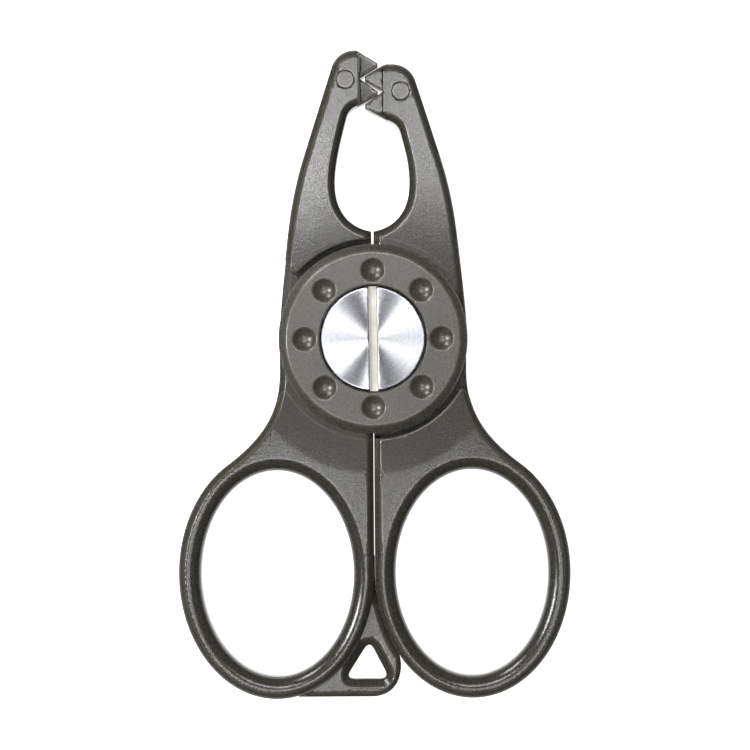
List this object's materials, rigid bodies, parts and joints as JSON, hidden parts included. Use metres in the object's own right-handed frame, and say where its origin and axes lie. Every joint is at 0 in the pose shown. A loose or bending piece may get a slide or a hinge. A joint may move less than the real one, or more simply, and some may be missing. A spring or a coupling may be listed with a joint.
{
  "type": "thread snips",
  "caption": "Hand snips with two crossing moulded levers, oval finger rings, interlocking toothed jaws and a coin-slotted pivot screw in a dimpled hub.",
  "frame": {"origin": "on the pivot axis, at the flat rear face of the pivot nut and rear cap that the closed tool lies on", "axes": "+Z out of the front face along the pivot axis, +Y to the jaw tips, +X to the right seen from the front"},
  "size_m": [0.073, 0.1208, 0.012],
  "materials": {
    "olive_plastic": "satin, finely spark-textured, dark olive grey",
    "tooth_plastic": "satin, finely textured, dark olive grey",
    "pin_plastic": "fine matt grey",
    "cap_plastic": "satin, finely spark-textured, dark olive grey",
    "turned_steel": "face-turned, concentric tool marks",
    "bush_bronze": "turned bearing bronze",
    "acetal": "natural acetal",
    "washer_steel": "punched and tumbled",
    "o_ring_rubber": "matt black"
  },
  "bodies": {
    "rear_assembly": {"rear_lever": "olive_plastic", "left_tooth_plate": "tooth_plastic", "left_tooth_pin": "pin_plastic", "rear_cap": "cap_plastic", "rear_washer": "washer_steel", "pivot_nut": "turned_steel", "hub_washer": "acetal"},
    "front_assembly": {"front_lever": "olive_plastic", "right_tooth_plate": "tooth_plastic", "right_tooth_pin": "pin_plastic", "front_cap": "cap_plastic", "pivot_bush": "bush_bronze", "wave_washer": "washer_steel"},
    "screw_assembly": {"pivot_screw": "turned_steel", "front_washer": "washer_steel", "screw_o_ring": "o_ring_rubber"}
  },
  "joints": [
    {"name": "lever_pivot", "type": "hinge", "parent": "rear_assembly", "child": "front_assembly", "pos_m": [0, 0, 0.006], "axis": [0, 0, -1], "range_deg": [0, 48]},
    {"name": "screw_turn", "type": "hinge", "parent": "rear_assembly", "child": "screw_assembly", "pos_m": [0, 0, 0.0112], "axis": [0, 0, -1], "range_deg": [-90, 30]}
  ]
}
